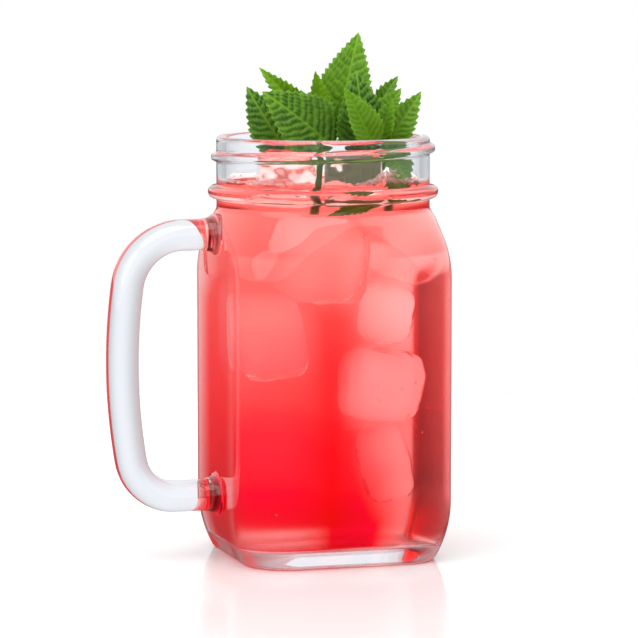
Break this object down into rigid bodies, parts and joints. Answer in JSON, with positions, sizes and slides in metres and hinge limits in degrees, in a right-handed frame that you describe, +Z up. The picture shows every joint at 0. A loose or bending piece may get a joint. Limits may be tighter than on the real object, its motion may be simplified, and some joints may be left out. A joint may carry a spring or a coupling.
{
  "type": "glass of pink lemonade",
  "caption": "Square glass drinking jar with a handle and a screw-thread neck, filled with iced pink lemonade and topped with mint.",
  "frame": {"origin": "bottom centre of the whole, on the surface it stands on, halfway between the handle's outer face and the far side of the neck's bead", "axes": "+Z up along the jar, -X towards the handle, +Y across the handle's breadth"},
  "size_m": [0.1064, 0.0724, 0.1645],
  "materials": {
    "jar_glass": "clear pressed glass, smooth and slightly wavy",
    "lemonade": "cloudy pink lemonade, salmon pink at the top and deep red at the bottom",
    "ice": "wet melting ice, clear with a cloudy heart",
    "mint": "fresh mint leaf, quilted between its veins, with a soft sheen"
  },
  "bodies": {
    "root": {"glass": "jar_glass", "lemonade": "lemonade", "ice_left": "ice", "ice_right": "ice", "mint_sprig_left": "mint", "mint_sprig_right": "mint"}
  },
  "joints": []
}
